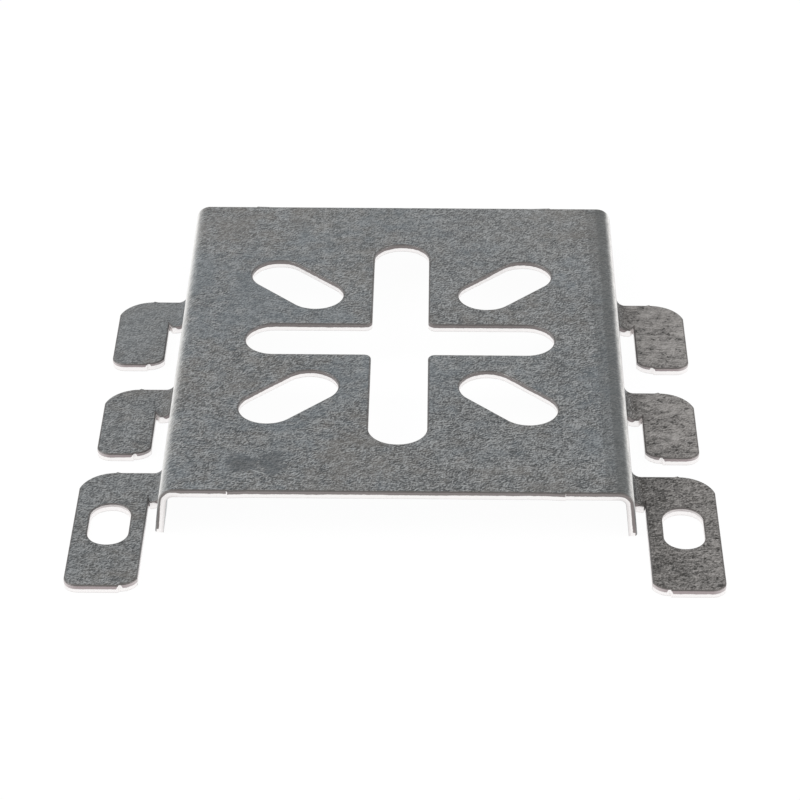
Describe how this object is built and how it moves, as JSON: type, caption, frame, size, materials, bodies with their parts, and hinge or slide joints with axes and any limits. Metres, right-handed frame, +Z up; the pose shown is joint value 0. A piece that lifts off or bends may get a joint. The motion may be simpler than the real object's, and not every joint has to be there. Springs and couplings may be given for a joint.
{
  "type": "stamped mounting bracket",
  "caption": "Hat-shaped bracket folded from sheet metal: a flat plate with crossed and slanted slots, side flanges with forward hooks, and front lugs with fixing slots.",
  "frame": {"origin": "middle of the bracket's width and depth, in the plane that the six tabs rest on", "axes": "+Z up out of the plate, +X to the right across the flanges, +Y to the rear; the hooks and lugs point forward, to -Y"},
  "size_m": [0.1124, 0.1178, 0.0091],
  "materials": {
    "zinc_sheet": "dull zinc-coated strip with a fine matt grain and bare cut edges"
  },
  "bodies": {
    "root": {"bracket": "zinc_sheet"}
  },
  "joints": []
}
